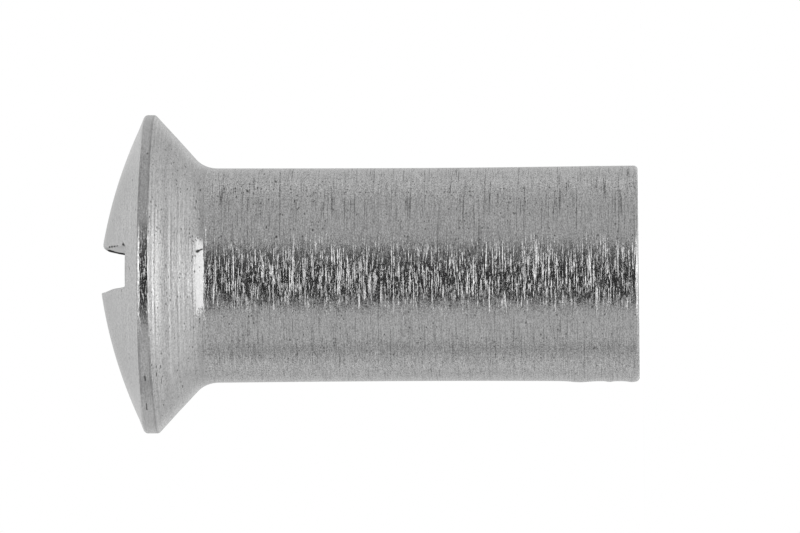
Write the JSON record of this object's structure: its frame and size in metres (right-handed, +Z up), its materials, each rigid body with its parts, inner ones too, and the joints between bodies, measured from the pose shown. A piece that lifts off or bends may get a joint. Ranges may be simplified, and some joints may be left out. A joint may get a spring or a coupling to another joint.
{
  "type": "sleeve nut",
  "caption": "Round sleeve nut with a raised countersunk head, a straight screwdriver slot and a blind threaded bore.",
  "frame": {"origin": "centre of the sleeve's open end, in the plane of its end face, where the nut stands", "axes": "+Z up the axis from the open end to the head, Y along the screwdriver slot, +X towards the side that the slot is struck off centre"},
  "size_m": [0.012, 0.012, 0.0201],
  "materials": {
    "stainless_steel": "plain turned stainless steel with fine feed marks round it, small pits and a few scratches"
  },
  "bodies": {
    "root": {"sleeve_nut": "stainless_steel"}
  },
  "joints": []
}
